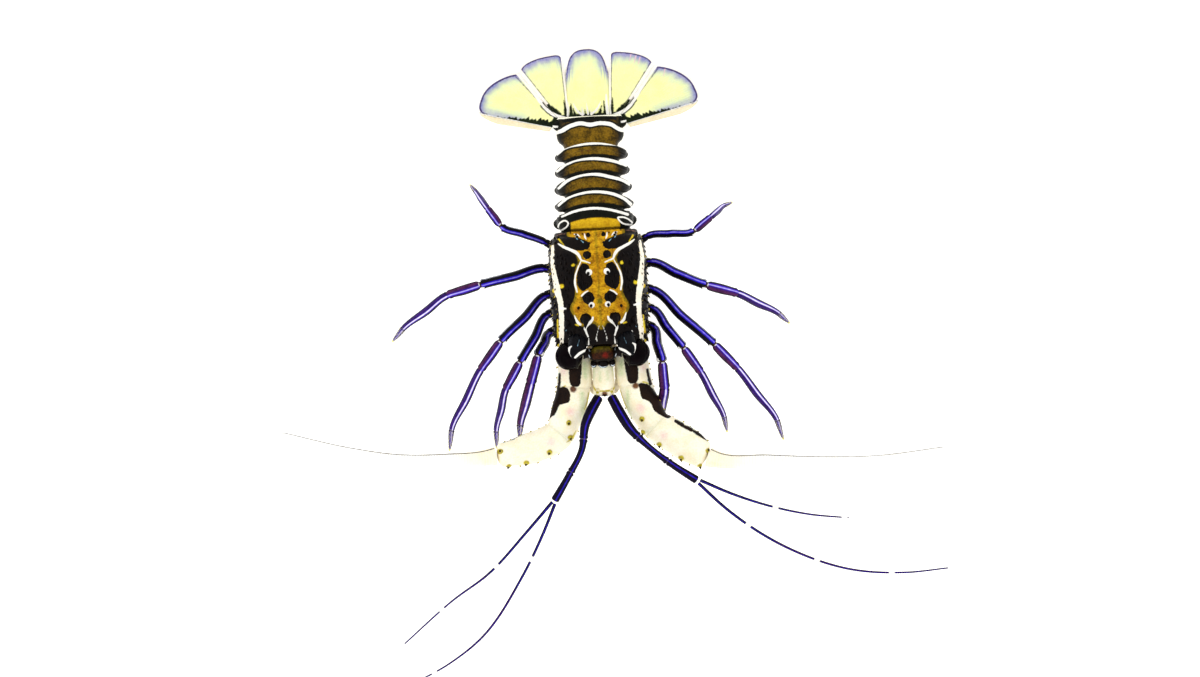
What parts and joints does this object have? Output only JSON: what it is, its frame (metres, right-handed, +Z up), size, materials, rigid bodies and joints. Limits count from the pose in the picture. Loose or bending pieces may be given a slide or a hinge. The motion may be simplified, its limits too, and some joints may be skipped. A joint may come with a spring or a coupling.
{
  "type": "spiny lobster",
  "caption": "Life-size still model of a juvenile spiny lobster, standing, with spread legs, long feelers, a spined shell and an open tail fan.",
  "frame": {"origin": "on the floor, under the middle of the whole outline with legs and feelers", "axes": "+Z up from the floor, +Y towards the tail, -Y towards the head, +X towards the animal's left side"},
  "size_m": [0.262, 0.2531, 0.04],
  "materials": {
    "carapace": "hard calcified shell, black and gold with cream lines, satin gloss",
    "abdomen_shell": "brown olive shell with white cross bands edged in black, satin gloss",
    "tail_fan": "thin pale yellow plates with a lilac blue border and white edge",
    "eye": "near black, wet gloss",
    "eyestalk": "brown shell with pale dots",
    "antennular_plate": "cream shell with yellow edge lines",
    "antenna": "cream and pink shell with dark outer patches and brown spines",
    "antenna_flagellum": "white, fine rings, dull",
    "antennule": "dark navy and maroon with a blue stripe and white rings",
    "leg_upper": "black and blue violet shell with a pale stripe",
    "leg_lower": "purple shell with a pale stripe",
    "leg_tip": "purple to pale yellow horn",
    "underside": "pale shell with dark edges"
  },
  "bodies": {
    "root": {"carapace": "carapace", "abdomen_1": "abdomen_shell", "abdomen_2": "abdomen_shell", "abdomen_3": "abdomen_shell", "abdomen_4": "abdomen_shell", "abdomen_5": "abdomen_shell", "abdomen_6": "abdomen_shell", "telson": "tail_fan", "uropod_inner_left": "tail_fan", "uropod_inner_right": "tail_fan", "uropod_outer_left": "tail_fan", "uropod_outer_right": "tail_fan", "eye_left": "eye", "eye_right": "eye", "eyestalks": "eyestalk", "antennular_plate": "antennular_plate", "antenna_base_left": "antenna", "antenna_base_right": "antenna", "antenna_stalk_left": "antenna", "antenna_stalk_right": "antenna", "antenna_flagellum_left": "antenna_flagellum", "antenna_flagellum_right": "antenna_flagellum", "antennule_stalk_left": "antennule", "antennule_stalk_right": "antennule", "antennule_outer_left": "antennule", "antennule_outer_right": "antennule", "antennule_inner_left": "antennule", "antennule_inner_right": "antennule", "leg_1_left_upper": "leg_upper", "leg_1_right_upper": "leg_upper", "leg_2_left_upper": "leg_upper", "leg_2_right_upper": "leg_upper", "leg_3_left_upper": "leg_upper", "leg_3_right_upper": "leg_upper", "leg_4_left_upper": "leg_upper", "leg_4_right_upper": "leg_upper", "leg_5_left_upper": "leg_upper", "leg_5_right_upper": "leg_upper", "leg_1_left_lower": "leg_lower", "leg_1_right_lower": "leg_lower", "leg_2_left_lower": "leg_lower", "leg_2_right_lower": "leg_lower", "leg_3_left_lower": "leg_lower", "leg_3_right_lower": "leg_lower", "leg_4_left_lower": "leg_lower", "leg_4_right_lower": "leg_lower", "leg_5_left_lower": "leg_lower", "leg_5_right_lower": "leg_lower", "leg_1_left_dactyl": "leg_tip", "leg_1_right_dactyl": "leg_tip", "leg_2_left_dactyl": "leg_tip", "leg_2_right_dactyl": "leg_tip", "leg_3_left_dactyl": "leg_tip", "leg_3_right_dactyl": "leg_tip", "leg_4_left_dactyl": "leg_tip", "leg_4_right_dactyl": "leg_tip", "leg_5_left_dactyl": "leg_tip", "leg_5_right_dactyl": "leg_tip", "sternum": "underside", "mouthparts": "underside"}
  },
  "joints": []
}
